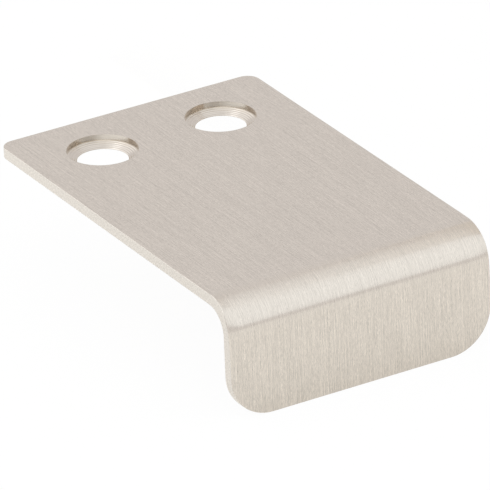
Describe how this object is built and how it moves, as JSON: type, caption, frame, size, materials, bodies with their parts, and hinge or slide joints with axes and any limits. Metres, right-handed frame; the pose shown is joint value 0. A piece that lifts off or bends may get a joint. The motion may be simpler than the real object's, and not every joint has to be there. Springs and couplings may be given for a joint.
{
  "type": "tab pull",
  "caption": "Folded sheet-metal tab pull: a flat plate with countersunk screw holes near its back edge and a rounded finger lip bent down along its front.",
  "frame": {"origin": "midway between the two screw holes, on the plate's underside, which seats on the drawer or door", "axes": "+X along the hole line, +Y towards the plate's back edge with the lip at -Y, +Z out of the countersunk face"},
  "size_m": [0.041, 0.0626, 0.0173],
  "materials": {
    "brushed_metal": "satin, warm grey, brushed from back to front over the plate and down the lip"
  },
  "bodies": {
    "root": {"tab_pull": "brushed_metal"}
  },
  "joints": []
}
